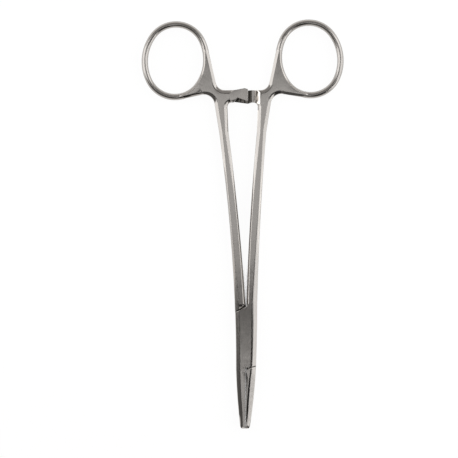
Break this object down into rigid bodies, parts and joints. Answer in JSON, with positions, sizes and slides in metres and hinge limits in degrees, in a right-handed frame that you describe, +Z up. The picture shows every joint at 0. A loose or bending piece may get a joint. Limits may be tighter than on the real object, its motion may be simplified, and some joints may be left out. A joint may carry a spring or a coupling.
{
  "type": "needle holder",
  "caption": "Straight ring-handled needle holder with a box lock, a ratchet between the shanks and short blunt jaws.",
  "frame": {"origin": "on the pivot's axis, at the underside of the box, which is the face the part lies on", "axes": "+Y along the instrument from the pivot to the finger rings, +Z up out of the front face, +X to the right as seen from the front with the rings up"},
  "size_m": [0.079, 0.1598, 0.0046],
  "materials": {
    "forged_steel": "satin, with polished bevels",
    "rivet_steel": "satin, ground flush with the box"
  },
  "bodies": {
    "box_side": {"box_half": "forged_steel", "pivot_rivet": "rivet_steel"},
    "tongue_side": {"tongue_half": "forged_steel"}
  },
  "joints": [
    {"name": "box_lock", "type": "hinge", "parent": "box_side", "child": "tongue_side", "pos_m": [0, 0, 0], "axis": [0, 0, 1], "range_deg": [0, 60]}
  ]
}
